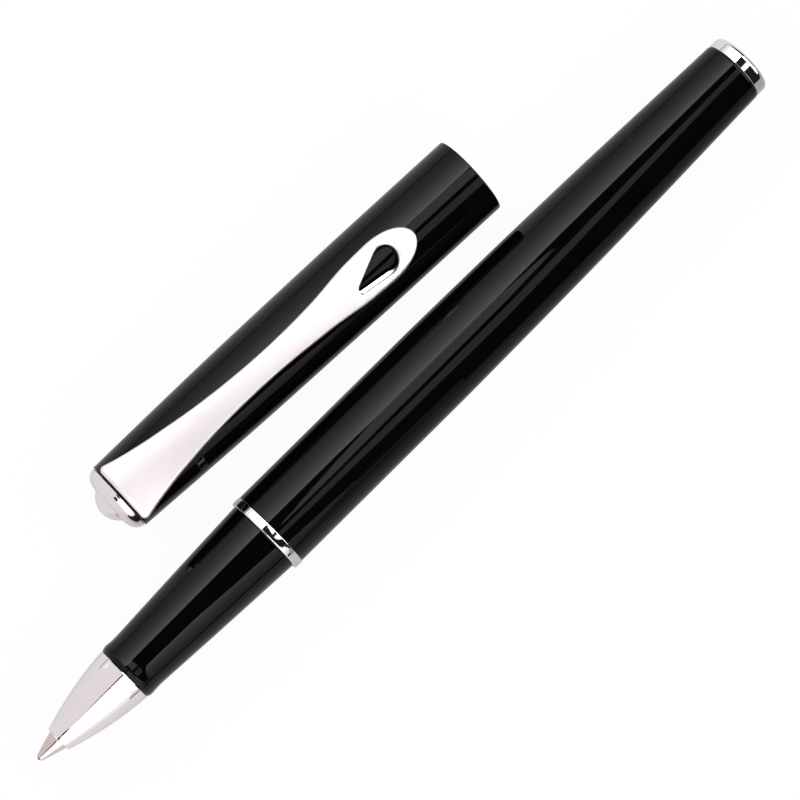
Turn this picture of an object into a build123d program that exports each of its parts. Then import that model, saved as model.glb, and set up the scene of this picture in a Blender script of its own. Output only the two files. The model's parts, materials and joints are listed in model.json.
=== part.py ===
from build123d import *
import os
from math import sqrt

# A capped rollerball pen lying on a table, its cap pulled off and laid beside it.
# Millimetres. The pen is drawn along +X from the writing tip at x = 0, and the cap along +X from the
# end of its finial at x = 0, both on their own axis. Each is then set down in the row's frame, which
# has +X from tip to rear, +Z up and its origin under the middle of the whole object's box.

# ---- driving dimensions: the pen ----
PEN_LENGTH = 118.5
NOSE_X = 3.3            # front of the nose cone, where the refill tip comes out
GRIP_X = 14.2           # nose cone to grip section
RING_X = 37.3           # grip section to trim ring
BARREL_X = 38.45        # trim ring to barrel
PLUG_X = 116.8          # barrel to end plug
BARREL_R = 5.24
BARREL_STRAIGHT = 28.0  # length of the barrel that is a true cylinder
BARREL_END_R = 4.14
RING_R = 5.33
GRIP_END_R = 4.87
FACE_GAP = 0.03         # between the faces of pieces that part when the pen is unscrewed

# ---- driving dimensions: inside the pen ----
REFILL_R = 3.0
REFILL_END_X = 110.5
TIP_R = 1.32
BALL_R = 0.35
BALL_PLAY = 0.025       # radial clearance of the ball in its socket
RUNNING = 0.05          # radial clearance of a running fit
BARREL_BORE_R = 4.6
PLUG_STEM_R = 3.4
THREAD_R = 4.0
THREAD_LENGTH = 7.5     # thread in engagement
THREAD_PITCH = 0.75
UNSCREW_TURNS = 9
COUPLER_R = 4.2         # the plug of the threaded coupling, inside the grip
SPIGOT_R = 3.5          # the nose cone's spigot, inside the grip
SPRING_R = 2.3
SPRING_WIRE_R = 0.25

# ---- driving dimensions: the cap ----
CAP_LENGTH = 59.7       # from the finial's end to the mouth
CAP_TUBE_X = 2.9
CAP_R = 5.25
CAP_END_R = 4.60
CAP_BORE_R = 4.93
CAP_BORE_LENGTH = 20.2
LINER_R = 4.62
LINER_X = 20.2
INSERT_R = 4.2
INSERT_END_X = 8.2
STUD_R = 1.25
DOME_R = 2.45
CAP_YAW = 2.07          # degrees that the cap lies off the pen's direction
CAP_ROLL = 3.2          # degrees that its clip leans towards the pen
CAP_START = (25.6, 15.46)   # the finial's end from the pen's tip, along and across

# ---- driving dimensions: the clip ----
CLIP_X = 3.05
CLIP_END_X = 49.25
CLIP_WIDE = 4.05        # half widths: at the shoulder, the waist and the loop
CLIP_WAIST = 1.56
CLIP_LOOP = 2.76
LOOP_X = 44.0           # where the loop is widest, and its rounded end begins
EYE_X = 44.2            # centre of the round end of the teardrop eye
EYE_POINT_X = 39.8
EYE_R = 1.62
PIVOT_X = 6.4
PIVOT_Z = 3.0
FOOT_END_Z = 1.9        # the foot reaches down to here, and its pocket a little further
PIVOT_R = 0.45
SLOT_HALF_WIDTH = 1.7
SLOT_SPAN = (4.1, 7.5)
CLIP_GAP = 0.30         # clip to cap at the shoulder, so that the heel can dip

# ---- where the pen and the cap lie in the row's frame ----
CAP_FAR_Y = 19.943      # the cap's furthest reach from the pen's axis
PEN_AT = Location((-PEN_LENGTH / 2, (RING_R - CAP_FAR_Y) / 2, RING_R))
CAP_AT = Location(
    (CAP_START[0] - PEN_LENGTH / 2, CAP_START[1] + (RING_R - CAP_FAR_Y) / 2, CAP_R),
    (0, 0, -CAP_YAW),
) * Rot(CAP_ROLL, 0, 0)

written = []


def save(name, solid, place):
    """Set one piece down in the row's frame and write it to its own file."""
    piece = place * solid
    piece.label = name
    export_step(piece, f"parts/{name}.step")
    written.append(piece)


def turned(*edges):
    """Spin an outline drawn at +Y, from front to rear, round the X axis into a solid."""
    start = edges[0] @ 0
    end = edges[-1] @ 1
    closing = Polyline(end, (end.X, 0), (start.X, 0), start)
    return revolve(make_face([*edges, closing]), Axis.X, 360)


def stepped(*points):
    """A turned solid whose outline is straight from point to point."""
    return turned(Polyline(*points))


def rod(x0, x1, radius):
    return stepped((x0, radius), (x1, radius))


def pipe(x0, x1, radius, bore):
    return rod(x0, x1, radius) - rod(x0, x1, bore)


def rounded(solid, x, radius, size):
    """Round the turned edge that lies at this place along the axis and this radius."""
    near = [e for e in solid.edges().filter_by(GeomType.CIRCLE)
            if abs(e.center().X - x) < 0.02 and abs(e.radius - radius) < 0.02]
    return fillet(near, size)


def coil(radius, wire_radius, length, turns):
    """A compression spring along +Z from the origin."""
    pitch = (length - 2 * wire_radius) / turns
    path = Helix(pitch=pitch, height=pitch * turns, radius=radius)
    section = Plane(path @ 0, z_dir=path % 0) * Circle(wire_radius)
    return Pos(0, 0, wire_radius) * sweep(section, path=path, is_frenet=True)


# ---- barrel ----
def barrel_tube():
    wall_end = BARREL_X + BARREL_STRAIGHT
    straight = Line((BARREL_X, BARREL_R), (wall_end, BARREL_R))
    taper = Spline(
        (wall_end, BARREL_R), (91.5, 4.89), (PLUG_X, BARREL_END_R), tangents=((1, 0), (1, -0.035))
    )
    bore = stepped(
        (BARREL_X, BARREL_BORE_R), (70, BARREL_BORE_R), (108, 3.7), (110, PLUG_STEM_R), (PLUG_X, PLUG_STEM_R)
    )
    return rounded(turned(straight, taper) - bore, PLUG_X, BARREL_END_R, 0.3)


def barrel_sleeve():
    """The barrel's internal thread, shown as a plain running bore."""
    return pipe(BARREL_X, BARREL_X + 13, BARREL_BORE_R, THREAD_R + RUNNING)


def trim_ring():
    """A barely crowned ring with rounded edges."""
    edge_r = RING_R - 0.02
    middle = (RING_X + BARREL_X) / 2
    outside = turned(ThreePointArc((RING_X, edge_r), (middle, RING_R), (BARREL_X, edge_r)))
    ring = rounded(outside - rod(RING_X, BARREL_X, COUPLER_R + RUNNING), RING_X, edge_r, 0.15)
    return rounded(ring, BARREL_X, edge_r, 0.06)


def end_plug():
    face_r = 3.55
    head = turned(
        Line((PLUG_X, BARREL_END_R), (117.8, 4.10)),
        ThreePointArc((117.8, 4.10), (118.3, 3.92), (PEN_LENGTH, face_r)),
    )
    dish = rod(PEN_LENGTH - 0.25, PEN_LENGTH, face_r - 0.35)
    spring_seat = rod(112.0, 115.4, SPRING_R + SPRING_WIRE_R + 0.25)
    return head + rod(112.0, PLUG_X, PLUG_STEM_R) - dish - spring_seat


# ---- grip section ----
def grip_section():
    rear = RING_X - FACE_GAP
    outside = Spline(
        (GRIP_X, 3.72), (15.0, 3.93), (16.1, 3.85), (20.0, 4.04), (27.0, 4.40), (rear, GRIP_END_R)
    )
    bore = stepped(
        (GRIP_X, SPIGOT_R), (20, SPIGOT_R), (20, REFILL_R + 0.3), (29.5, REFILL_R + 0.3),
        (29.5, COUPLER_R), (rear, COUPLER_R),
    )
    return turned(outside) - bore


def section_coupling():
    """The threaded tail that screws into the barrel, shown at its outside diameter."""
    plug = rod(29.6, RING_X - FACE_GAP, COUPLER_R)
    tail = rod(RING_X - FACE_GAP, BARREL_X + THREAD_LENGTH, THREAD_R)
    return plug + tail - rod(29.6, BARREL_X + THREAD_LENGTH, REFILL_R + 0.3)


def nose_cone():
    rim_r = 1.72
    ogive = Spline((NOSE_X, rim_r), (6.3, 2.53), (9.1, 3.14), (11.9, 3.57), (GRIP_X, 3.80))
    body = rounded(turned(ogive), NOSE_X, rim_r, 0.14) + rod(GRIP_X, 19.8, SPIGOT_R)
    inside = stepped(
        (NOSE_X, TIP_R + 0.06), (6.7, TIP_R + 0.06), (6.7, 2.0), (10.0, 2.75), (GRIP_X, 3.2), (19.8, 3.2)
    )
    return body - inside


# ---- refill ----
def refill_ball():
    return Pos(BALL_R, 0, 0) * Sphere(BALL_R)


def refill_tip():
    lip_x = 0.18
    cone = stepped((lip_x, 0.43), (3.2, TIP_R), (6.8, TIP_R), (6.8, 1.0), (10.8, 1.0))
    channel = rod(BALL_R, 10.8, 0.28)
    return cone - channel - Pos(BALL_R, 0, 0) * Sphere(BALL_R + BALL_PLAY)


def refill_collar():
    body = stepped(
        (6.8, 1.7), (7.1, 1.85), (13.0, 2.2), (15.5, REFILL_R), (17.0, REFILL_R), (17.0, 2.5), (21.0, 2.5)
    )
    return body - rod(6.8, 10.8, 1.0) - rod(10.8, 21.0, 0.8)


def refill_tube():
    return pipe(17.0, 108.5, REFILL_R, 2.5)


def refill_reservoir():
    """The felt that holds the ink."""
    return rod(21.1, 105.0, 2.4) - rod(21.1, 28.5, 0.8)


def refill_feed():
    """The fibre rod that draws ink from the felt to the tip."""
    return rod(11.0, 28.0, 0.7)


def refill_plug():
    return rod(105.5, 108.5, 2.5) + rod(108.5, REFILL_END_X, REFILL_R) - rod(105.5, REFILL_END_X, 0.4)


def refill_spring():
    start = REFILL_END_X + 0.02
    spring = coil(SPRING_R, SPRING_WIRE_R, 115.38 - start, 4.5)
    return Pos(start, 0, 0) * Rot(0, 90, 0) * spring


# ---- cap ----
def cap_tube():
    straight_from = 42.0
    taper = Spline(
        (CAP_TUBE_X, CAP_END_R), (12.0, 4.845), (23.4, 5.09), (straight_from, CAP_R),
        tangents=((1, 0.03), (1, 0)),
    )
    outside = turned(taper, Line((straight_from, CAP_R), (CAP_LENGTH, CAP_R)))
    bore = stepped(
        (CAP_TUBE_X, INSERT_R), (LINER_X - 0.2, INSERT_R), (LINER_X - 0.2, LINER_R),
        (CAP_LENGTH - CAP_BORE_LENGTH, LINER_R), (CAP_LENGTH - CAP_BORE_LENGTH, CAP_BORE_R),
        (CAP_LENGTH, CAP_BORE_R),
    )
    slot = slot_block(SLOT_SPAN, SLOT_HALF_WIDTH, 0.8 * INSERT_R)
    return rounded(outside - bore - slot, CAP_LENGTH, CAP_R, 0.12)


def slot_block(span, half_width, floor):
    """The space the clip's foot goes down through, from a floor to well above the cap."""
    x0, x1 = span
    return Pos((x0 + x1) / 2, 0, floor + CAP_R / 2) * Box(x1 - x0, 2 * half_width, CAP_R)


def cap_liner():
    """The closed inner cap that seals round the grip's bead."""
    end = CAP_LENGTH - CAP_BORE_LENGTH - 0.2
    return rod(LINER_X, end, LINER_R) - rod(LINER_X + 1.0, end, 4.1)


def cap_insert():
    """The brass plug that holds the finial's stud and the clip's pivot pin."""
    body = rod(CAP_TUBE_X, INSERT_END_X, INSERT_R) - rod(CAP_TUBE_X, 7.4, STUD_R)
    pocket = slot_block((4.0, 7.6), SLOT_HALF_WIDTH - 0.15, FOOT_END_Z - 0.3)
    return body - pocket - pivot_rod(PIVOT_R, 2.1)


def pivot_rod(radius, half_length):
    """A rod across the cap on the clip's pivot axis."""
    return Pos(PIVOT_X, 0, PIVOT_Z) * Rot(90, 0, 0) * Cylinder(radius, 2 * half_length)


def clip_pin():
    return pivot_rod(PIVOT_R, 2.1)


def clip_spring():
    """The coil under the clip's heel that presses the loop on to the cap."""
    start = FOOT_END_Z - 0.28
    return Pos(4.85, 0, start) * coil(0.52, 0.12, 4.86 - start, 6)


def finial_base():
    shoulder = Spline((1.25, DOME_R + 0.05), (1.55, 3.65), (2.15, 4.27), (CAP_TUBE_X - 0.05, 4.5))
    return turned(shoulder) - rod(1.25, CAP_TUBE_X, STUD_R) - rod(1.25, 1.75, DOME_R + 0.02)


def finial_dome():
    """A shallow domed button, let into the base."""
    dome = turned(ThreePointArc((0, 0.001), (0.42, 1.45), (1.45, DOME_R)), Line((1.45, DOME_R), (1.75, DOME_R)))
    return dome - rod(1.0, 1.75, STUD_R)


def finial_stud():
    return rod(1.0, 7.3, STUD_R)


# ---- clip ----
def clip_outline():
    """The clip seen from above: a broad shoulder, a waist and a loop with a rounded end."""
    shoulder = (3.9, CLIP_WIDE - 0.08)
    corner = ThreePointArc((CLIP_X, CLIP_WIDE - 0.75), (CLIP_X + 0.2, CLIP_WIDE - 0.27), shoulder)
    side = Spline(
        shoulder, (6.1, 3.42), (10.3, 2.68), (17.3, 1.88), (25.8, CLIP_WAIST), (34.3, 1.94),
        (40.0, 2.60), (LOOP_X, CLIP_LOOP), tangents=((1, -0.25), (1, 0)),
    )
    pull = 0.552            # how far a quarter ellipse's handles reach, as a share of its radii
    handle_x = LOOP_X + pull * (CLIP_END_X - LOOP_X)
    loop = Bezier(
        (LOOP_X, CLIP_LOOP), (handle_x, CLIP_LOOP), (CLIP_END_X, pull * CLIP_LOOP), (CLIP_END_X, 0)
    )
    middle = Polyline((CLIP_X, CLIP_WIDE - 0.75), (CLIP_X, 0), (CLIP_END_X, 0))
    half = make_face([corner, side, loop, middle])
    return half + mirror(half, Plane.XZ)


def clip_eye():
    """The teardrop hole: a circle drawn out to a point towards the shoulder."""
    reach = EYE_X - EYE_POINT_X
    touch_x = EYE_X - EYE_R * EYE_R / reach
    touch_y = EYE_R * sqrt(1 - (EYE_R / reach) ** 2)
    drop = Polyline((touch_x, touch_y), (EYE_POINT_X, 0), (touch_x, -touch_y), close=True)
    return make_face(drop) + Pos(EYE_X, 0) * Circle(EYE_R)


def clip():
    """A crowned band round the cap's axis, cut to the outline, with a pivot foot and a bead."""
    underside = Spline(
        (CLIP_X - 0.5, CAP_END_R + CLIP_GAP), (10.3, 5.25), (25.8, 5.78), (40.0, 6.0), (50.5, 5.75)
    )
    top = Spline((CLIP_X - 0.5, 5.55), (10.3, 6.25), (25.8, 6.95), (40.0, 7.0), (50.5, 6.45))
    band = revolve(
        make_face([underside, top, Line(underside @ 0, top @ 0), Line(underside @ 1, top @ 1)]), Axis.X, 360
    )
    blade = band & extrude(clip_outline() - clip_eye(), 9)
    foot_top = 5.3
    foot = Pos(PIVOT_X, 0, (foot_top + FOOT_END_Z) / 2) * Box(1.5, 2.6, foot_top - FOOT_END_Z)
    bead_r = 0.6
    bead = Pos(47.75, 0, CAP_R + 0.03 + bead_r) * Sphere(bead_r)
    return blade + foot + bead - pivot_rod(PIVOT_R + 0.04, 2)


PEN_PIECES = [
    barrel_tube, barrel_sleeve, trim_ring, end_plug, grip_section, section_coupling, nose_cone,
    refill_ball, refill_tip, refill_collar, refill_tube, refill_reservoir, refill_feed, refill_plug,
    refill_spring,
]
CAP_PIECES = [
    cap_tube, cap_liner, cap_insert, clip_pin, clip_spring, finial_base, finial_dome, finial_stud, clip,
]

os.makedirs("parts", exist_ok=True)
for make in PEN_PIECES:
    save(make.__name__, make(), PEN_AT)
for make in CAP_PIECES:
    save(make.__name__, make(), CAP_AT)

box = Compound(children=written).bounding_box()
print("box", box.min, box.max)
print("travel when unscrewed", THREAD_PITCH * UNSCREW_TURNS)
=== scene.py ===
"""The looks of a rollerball pen and its cap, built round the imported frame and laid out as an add-on.

Every piece is drawn in millimetres on its own axis, from the tip for the pen and from the finial's end
for the cap, and is then placed in the frame, in metres, with its place in its mesh.
"""

import json
import math

import bmesh
import bpy
from mathutils import Matrix, Vector
from mathutils.geometry import intersect_point_line


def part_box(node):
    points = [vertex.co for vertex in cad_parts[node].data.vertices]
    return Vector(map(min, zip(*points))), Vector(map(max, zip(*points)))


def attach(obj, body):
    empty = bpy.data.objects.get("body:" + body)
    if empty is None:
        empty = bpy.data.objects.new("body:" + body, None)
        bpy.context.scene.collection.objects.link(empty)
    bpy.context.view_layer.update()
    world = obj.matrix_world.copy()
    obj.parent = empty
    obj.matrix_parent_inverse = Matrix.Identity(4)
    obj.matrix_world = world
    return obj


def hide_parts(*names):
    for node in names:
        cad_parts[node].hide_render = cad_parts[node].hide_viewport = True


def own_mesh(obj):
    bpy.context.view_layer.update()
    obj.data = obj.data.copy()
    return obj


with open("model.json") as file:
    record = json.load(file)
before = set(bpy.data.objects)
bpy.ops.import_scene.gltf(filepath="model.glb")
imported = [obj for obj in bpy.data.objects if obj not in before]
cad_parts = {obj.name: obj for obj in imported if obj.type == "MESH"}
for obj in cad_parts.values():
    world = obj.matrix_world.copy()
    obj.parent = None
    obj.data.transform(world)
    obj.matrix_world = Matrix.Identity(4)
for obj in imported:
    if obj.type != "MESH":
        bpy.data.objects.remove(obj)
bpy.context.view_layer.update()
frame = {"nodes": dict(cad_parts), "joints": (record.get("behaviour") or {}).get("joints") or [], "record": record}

bl_info = {
    "name": "Rollerball pen",
    "version": (1, 0, 0),
    "blender": (4, 5, 0),
    "location": "View3D > Sidebar > Pen",
    "description": "Builds a lacquered rollerball pen, its cap and its stage",
    "category": "Object",
}

MM = 0.001
FULL_TURN = math.tau
ROUND_STEPS = 128
SHARP_ANGLE = math.radians(32)


# ---- where things are, from the frame ----
def mount(name):
    """The position and the axis of one of the record's mounts."""
    found = [m for m in frame["record"]["mounts"] if m["name"] == name][0]
    return Vector(found["pos_m"]), Vector(found["axis"])


def joint(name):
    """One of the frame's joints, by name."""
    return [j for j in frame["joints"] if j["name"] == name][0]


def middle(cad_node):
    """The middle of a CAD node's box."""
    low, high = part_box(cad_node)
    return (low + high) / 2


def pen_place():
    """Maps millimetres from the writing tip, along the pen's axis, to the frame."""
    axis = middle("barrel_tube")
    tip = Vector((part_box("refill_ball")[0].x, axis.y, axis.z))
    return Matrix.Translation(tip) @ Matrix.Scale(MM, 4)


def cap_place():
    """Maps millimetres from the finial's end, along the cap's axis, to the frame."""
    point, along = mount("cap_mouth")
    start = point + along * ((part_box("finial_dome")[0].x - point.x) / along.x)
    across = -Vector(joint("clip_flex")["axis"])
    turn = Matrix((along, across, along.cross(across))).transposed().to_4x4()
    return Matrix.Translation(start) @ turn @ Matrix.Scale(MM, 4)


PEN = pen_place()
CAP = cap_place()


def reach(cad_node, place):
    """A CAD node's first and last station along an axis, in that axis's own millimetres."""
    inverse = place.inverted()
    stations = [(inverse @ v.co).x for v in frame["nodes"][cad_node].data.vertices]
    return min(stations), max(stations)


def radius(cad_node, place):
    """A CAD node's largest radius about an axis, in millimetres."""
    inverse = place.inverted()
    points = [inverse @ v.co for v in frame["nodes"][cad_node].data.vertices]
    return max(math.hypot(p.y, p.z) for p in points)


# ---- outlines ----
def arc(centre, size, start, end, steps=6):
    """Points on a circle round a centre, from one angle to another, in degrees from +X."""
    points = []
    for i in range(steps + 1):
        angle = math.radians(start + (end - start) * i / steps)
        points.append((centre[0] + size * math.cos(angle), centre[1] + size * math.sin(angle)))
    return points


def flowing(knots, steps=8):
    """A smooth curve through a few knots: a cubic between each pair, in line with its neighbours."""
    last = len(knots) - 1
    points = [tuple(knots[0])]
    for i in range(last):
        p0, p1, p2, p3 = (Vector(knots[min(max(k, 0), last)]) for k in (i - 1, i, i + 1, i + 2))
        span = p2.x - p1.x
        slope_in = (p2 - p0) / max(p2.x - p0.x, 1e-9)
        slope_out = (p3 - p1) / max(p3.x - p1.x, 1e-9)
        for step in range(1, steps + 1):
            t = step / steps
            value = (
                (2 * t**3 - 3 * t**2 + 1) * p1 + (3 * t**2 - 2 * t**3) * p2
                + (t**3 - 2 * t**2 + t) * span * slope_in + (t**3 - t**2) * span * slope_out
            )
            points.append((value.x, value.y))
    return points


def height(knots, x):
    """The height at x of a smooth curve through a few knots."""
    curve = flowing(knots)
    if x <= curve[0][0]:
        return curve[0][1]
    for (x0, y0), (x1, y1) in zip(curve, curve[1:]):
        if x <= x1:
            return y0 + (y1 - y0) * (x - x0) / (x1 - x0)
    return curve[-1][1]


def held(outline, margin=0.03):
    """Adds a point close to each end of a long stretch, so that small edge curves don't shade it."""
    lengths = [math.dist(a, b) for a, b in zip(outline, outline[1:])]
    points = [outline[0]]
    for i, (a, b) in enumerate(zip(outline, outline[1:])):
        length = lengths[i]
        if length > 8 * margin:
            before = lengths[i - 1] if i else 0
            after = lengths[i + 1] if i + 1 < len(lengths) else 0
            if before < length / 3:
                points.append(blend(a, b, margin / length))
            if after < length / 3:
                points.append(blend(a, b, 1 - margin / length))
        points.append(b)
    return points


def blend(a, b, share):
    """The point part of the way from a to b."""
    return tuple(p + (q - p) * share for p, q in zip(a, b))


# ---- meshes ----
def whole(bm):
    """All that a mesh is made of, for the operators that cut it."""
    return bm.verts[:] + bm.edges[:] + bm.faces[:]


def turned(outline, steps=ROUND_STEPS):
    """Spins an outline of (station, radius) points round the X axis."""
    bm = bmesh.new()
    verts = [bm.verts.new((x, r, 0)) for x, r in held(outline)]
    edges = [bm.edges.new(pair) for pair in zip(verts, verts[1:])]
    bmesh.ops.spin(
        bm, geom=verts + edges, cent=(0, 0, 0), axis=(1, 0, 0), angle=FULL_TURN, steps=steps, use_merge=True
    )
    bmesh.ops.remove_doubles(bm, verts=bm.verts, dist=1e-4)
    return bm


def ring_outline(outline):
    """Closes an outline on itself, for a turned shape with a hole through it."""
    return list(outline) + [outline[0]]


def coil(size, wire, length, turns, ends=1.5, steps=24, sides=10):
    """A compression spring along +X, with its end turns wound close together."""
    total = turns + 2 * ends
    pitch_end = 2.02 * wire
    pitch = (length - 2 * wire - 2 * ends * pitch_end) / turns
    bm = bmesh.new()
    rings = []
    count = int(total * steps)
    for i in range(count + 1):
        turn = i / steps
        closed = min(turn, ends) + max(turn - ends - turns, 0)
        spread = min(max(turn - ends, 0), turns)
        along = wire + closed * pitch_end + spread * pitch
        angle = turn * FULL_TURN
        ring = bmesh.ops.create_circle(bm, segments=sides, radius=wire, cap_ends=i in (0, count))["verts"]
        lean = Matrix.Rotation(angle, 4, "X") @ Matrix.Translation((along, size, 0))
        bmesh.ops.transform(bm, matrix=lean, verts=ring)
        rings.append(ring)
    for one, other in zip(rings, rings[1:]):
        bmesh.ops.bridge_loops(bm, edges=ring_edges(one) + ring_edges(other))
    return bm


def ring_edges(verts):
    """The edges of one ring of points, without those that lead to its neighbours."""
    return [e for e in {e for v in verts for e in v.link_edges} if all(v in verts for v in e.verts)]


def finished(name, bm, place, material):
    """Makes a bmesh drawn in millimetres an object, with its place in its mesh and normals outward."""
    bmesh.ops.recalc_face_normals(bm, faces=bm.faces)
    bmesh.ops.transform(bm, matrix=place, verts=bm.verts)
    for face in bm.faces:
        face.smooth = True
    for edge in bm.edges:
        edge.smooth = edge.calc_face_angle(0) < SHARP_ANGLE
    mesh = bpy.data.meshes.new(name)
    bm.to_mesh(mesh)
    bm.free()
    mesh.materials.append(material)
    made = bpy.data.objects.new(name, mesh)
    bpy.context.scene.collection.objects.link(made)
    return made


def piece(name, bm, place, body, slot, *nodes, finish=None):
    """A piece that rides on a body and stands for CAD nodes, in its slot's finish or another."""
    made = finished(name, bm, place, finish_of(finish or slot))
    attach(made, body)
    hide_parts(*nodes)
    return made


# ---- material helpers ----
def new_group(name, inputs, outputs):
    """A shader node group with named inputs and outputs; returns it with its two end nodes."""
    group = bpy.data.node_groups.new(name, "ShaderNodeTree")
    for label, default in inputs:
        kind = "NodeSocketVector" if isinstance(default, tuple) else "NodeSocketFloat"
        socket = group.interface.new_socket(label, in_out="INPUT", socket_type=kind)
        socket.default_value = default
    for label, kind in outputs:
        group.interface.new_socket(label, in_out="OUTPUT", socket_type=kind)
    return group, group.nodes.new("NodeGroupInput"), group.nodes.new("NodeGroupOutput")


def node(tree, kind, links=(), **settings):
    """Adds a node, sets its attributes, and links or sets its inputs by name or number."""
    made = tree.nodes.new(kind)
    for key, value in settings.items():
        setattr(made, key, value)
    for key, value in dict(links).items():
        if isinstance(value, bpy.types.NodeSocket):
            tree.links.new(value, made.inputs[key])
        else:
            made.inputs[key].default_value = value
    return made


def math_node(tree, operation, a, b=0.0, clamp=False):
    """The result of a Math node."""
    made = node(tree, "ShaderNodeMath", {0: a, 1: b}, operation=operation, use_clamp=clamp)
    return made.outputs[0]


def dust_group():
    """Sparse specks of dust: a mask of small soft dots."""
    group, start, end = new_group(
        "dust specks", [("Scale", 900.0), ("Amount", 0.04), ("Vector", (0, 0, 0))],
        [("Mask", "NodeSocketFloat")],
    )
    cells = node(
        group, "ShaderNodeTexVoronoi",
        {"Vector": start.outputs["Vector"], "Scale": start.outputs["Scale"], "Randomness": 1.0},
    )
    chosen = node(
        group, "ShaderNodeTexWhiteNoise", {"Vector": cells.outputs["Position"]}, noise_dimensions="3D"
    )
    rare = math_node(group, "LESS_THAN", chosen.outputs["Value"], start.outputs["Amount"])
    dot = node(
        group, "ShaderNodeMapRange",
        {"Value": cells.outputs["Distance"], "From Min": 0.10, "From Max": 0.02},
    )
    mask = math_node(group, "MULTIPLY", rare, dot.outputs["Result"], clamp=True)
    group.links.new(mask, end.inputs["Mask"])
    return group


def smudge_group():
    """Soft handling marks: broad cloudy patches broken up by finer ones."""
    group, start, end = new_group(
        "handling smudges", [("Scale", 160.0), ("Vector", (0, 0, 0))], [("Mask", "NodeSocketFloat")]
    )
    broad = node(
        group, "ShaderNodeTexNoise",
        {
            "Vector": start.outputs["Vector"],
            "Scale": start.outputs["Scale"],
            "Detail": 4.0,
            "Distortion": 0.8,
        },
    )
    fine_scale = math_node(group, "MULTIPLY", start.outputs["Scale"], 7.0)
    fine = node(
        group, "ShaderNodeTexNoise", {"Vector": start.outputs["Vector"], "Scale": fine_scale, "Detail": 3.0}
    )
    both = math_node(group, "MULTIPLY", broad.outputs["Fac"], fine.outputs["Fac"])
    edge = node(group, "ShaderNodeMapRange", {"Value": both, "From Min": 0.24, "From Max": 0.38})
    group.links.new(edge.outputs["Result"], end.inputs["Mask"])
    return group


def scratch_group():
    """Fine hairline scratches: thin lines where a stretched noise crosses its middle value."""
    group, start, end = new_group(
        "hairline scratches", [("Scale", 500.0), ("Stretch", (1, 1, 1)), ("Vector", (0, 0, 0))],
        [("Mask", "NodeSocketFloat")],
    )
    squeezed = node(
        group, "ShaderNodeVectorMath",
        {0: start.outputs["Vector"], 1: start.outputs["Stretch"]}, operation="MULTIPLY",
    )
    noise = node(
        group, "ShaderNodeTexNoise",
        {"Vector": squeezed.outputs[0], "Scale": start.outputs["Scale"], "Detail": 2.0, "Roughness": 0.6},
    )
    off = math_node(group, "ABSOLUTE", math_node(group, "SUBTRACT", noise.outputs["Fac"], 0.5))
    line = node(group, "ShaderNodeMapRange", {"Value": off, "From Min": 0.012, "From Max": 0.0})
    patches = node(
        group, "ShaderNodeTexNoise", {"Vector": start.outputs["Vector"], "Scale": 220.0, "Detail": 1.0}
    )
    here = node(
        group, "ShaderNodeMapRange", {"Value": patches.outputs["Fac"], "From Min": 0.5, "From Max": 0.62}
    )
    mask = math_node(group, "MULTIPLY", line.outputs["Result"], here.outputs["Result"], clamp=True)
    group.links.new(mask, end.inputs["Mask"])
    return group


def lathe_group():
    """Turning lines round a part: fine uneven bands along the X axis."""
    group, start, end = new_group(
        "turning lines", [("Pitch", 0.00012), ("Vector", (0, 0, 0))], [("Height", "NodeSocketFloat")]
    )
    parts = node(group, "ShaderNodeSeparateXYZ", {0: start.outputs["Vector"]})
    along = math_node(group, "DIVIDE", parts.outputs["X"], start.outputs["Pitch"])
    bands = node(
        group, "ShaderNodeTexNoise", {"W": along, "Scale": 1.0, "Detail": 3.0, "Roughness": 0.7},
        noise_dimensions="1D",
    )
    group.links.new(bands.outputs["Fac"], end.inputs["Height"])
    return group


def use_group(tree, name, maker, **values):
    """Places a shared group in a material, making the group the first time."""
    group = bpy.data.node_groups.get(name) or maker()
    return node(tree, "ShaderNodeGroup", values, node_tree=group)


def blank(name):
    """A new material with its Principled shader and its Object coordinates."""
    material = bpy.data.materials.new(name)
    material.use_nodes = True
    tree = material.node_tree
    coords = node(tree, "ShaderNodeTexCoord").outputs["Object"]
    return material, tree, tree.nodes["Principled BSDF"], coords


def set_inputs(shader, **values):
    """Sets a shader's own sockets, named with underscores for spaces."""
    for label, value in values.items():
        shader.inputs[label.replace("_", " ")].default_value = value


def between(tree, factor, low, high):
    """A value that goes from low to high as the factor goes from 0 to 1."""
    made = node(tree, "ShaderNodeMapRange", {"Value": factor, "To Min": low, "To Max": high})
    return made.outputs["Result"]


def mixed(tree, factor, first, second):
    """A colour that goes from the first to the second as the factor goes from 0 to 1."""
    mix = node(tree, "ShaderNodeMix", {"Factor": factor}, data_type="RGBA")
    for socket, colour in ((mix.inputs[6], first), (mix.inputs[7], second)):
        if isinstance(colour, bpy.types.NodeSocket):
            tree.links.new(colour, socket)
        else:
            socket.default_value = (*colour, 1)
    return mix.outputs[2]


def bumped(tree, shader, height_socket, strength, distance):
    """Gives a shader a bump from a height."""
    bump = node(
        tree, "ShaderNodeBump", {"Height": height_socket, "Strength": strength, "Distance": distance}
    )
    tree.links.new(bump.outputs["Normal"], shader.inputs["Normal"])


def noise_value(tree, coords, scale, detail=3.0):
    """A plain noise over a piece."""
    made = node(tree, "ShaderNodeTexNoise", {"Vector": coords, "Scale": scale, "Detail": detail})
    return made.outputs["Fac"]


def smudges(tree, coords, scale):
    return use_group(tree, "handling smudges", smudge_group, Vector=coords, Scale=scale).outputs[0]


def dusting(tree, coords, scale, amount):
    return use_group(tree, "dust specks", dust_group, Vector=coords, Scale=scale, Amount=amount).outputs[0]


def shaded(colour, share):
    """A colour made darker or lighter."""
    return [c * share for c in colour]


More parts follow.
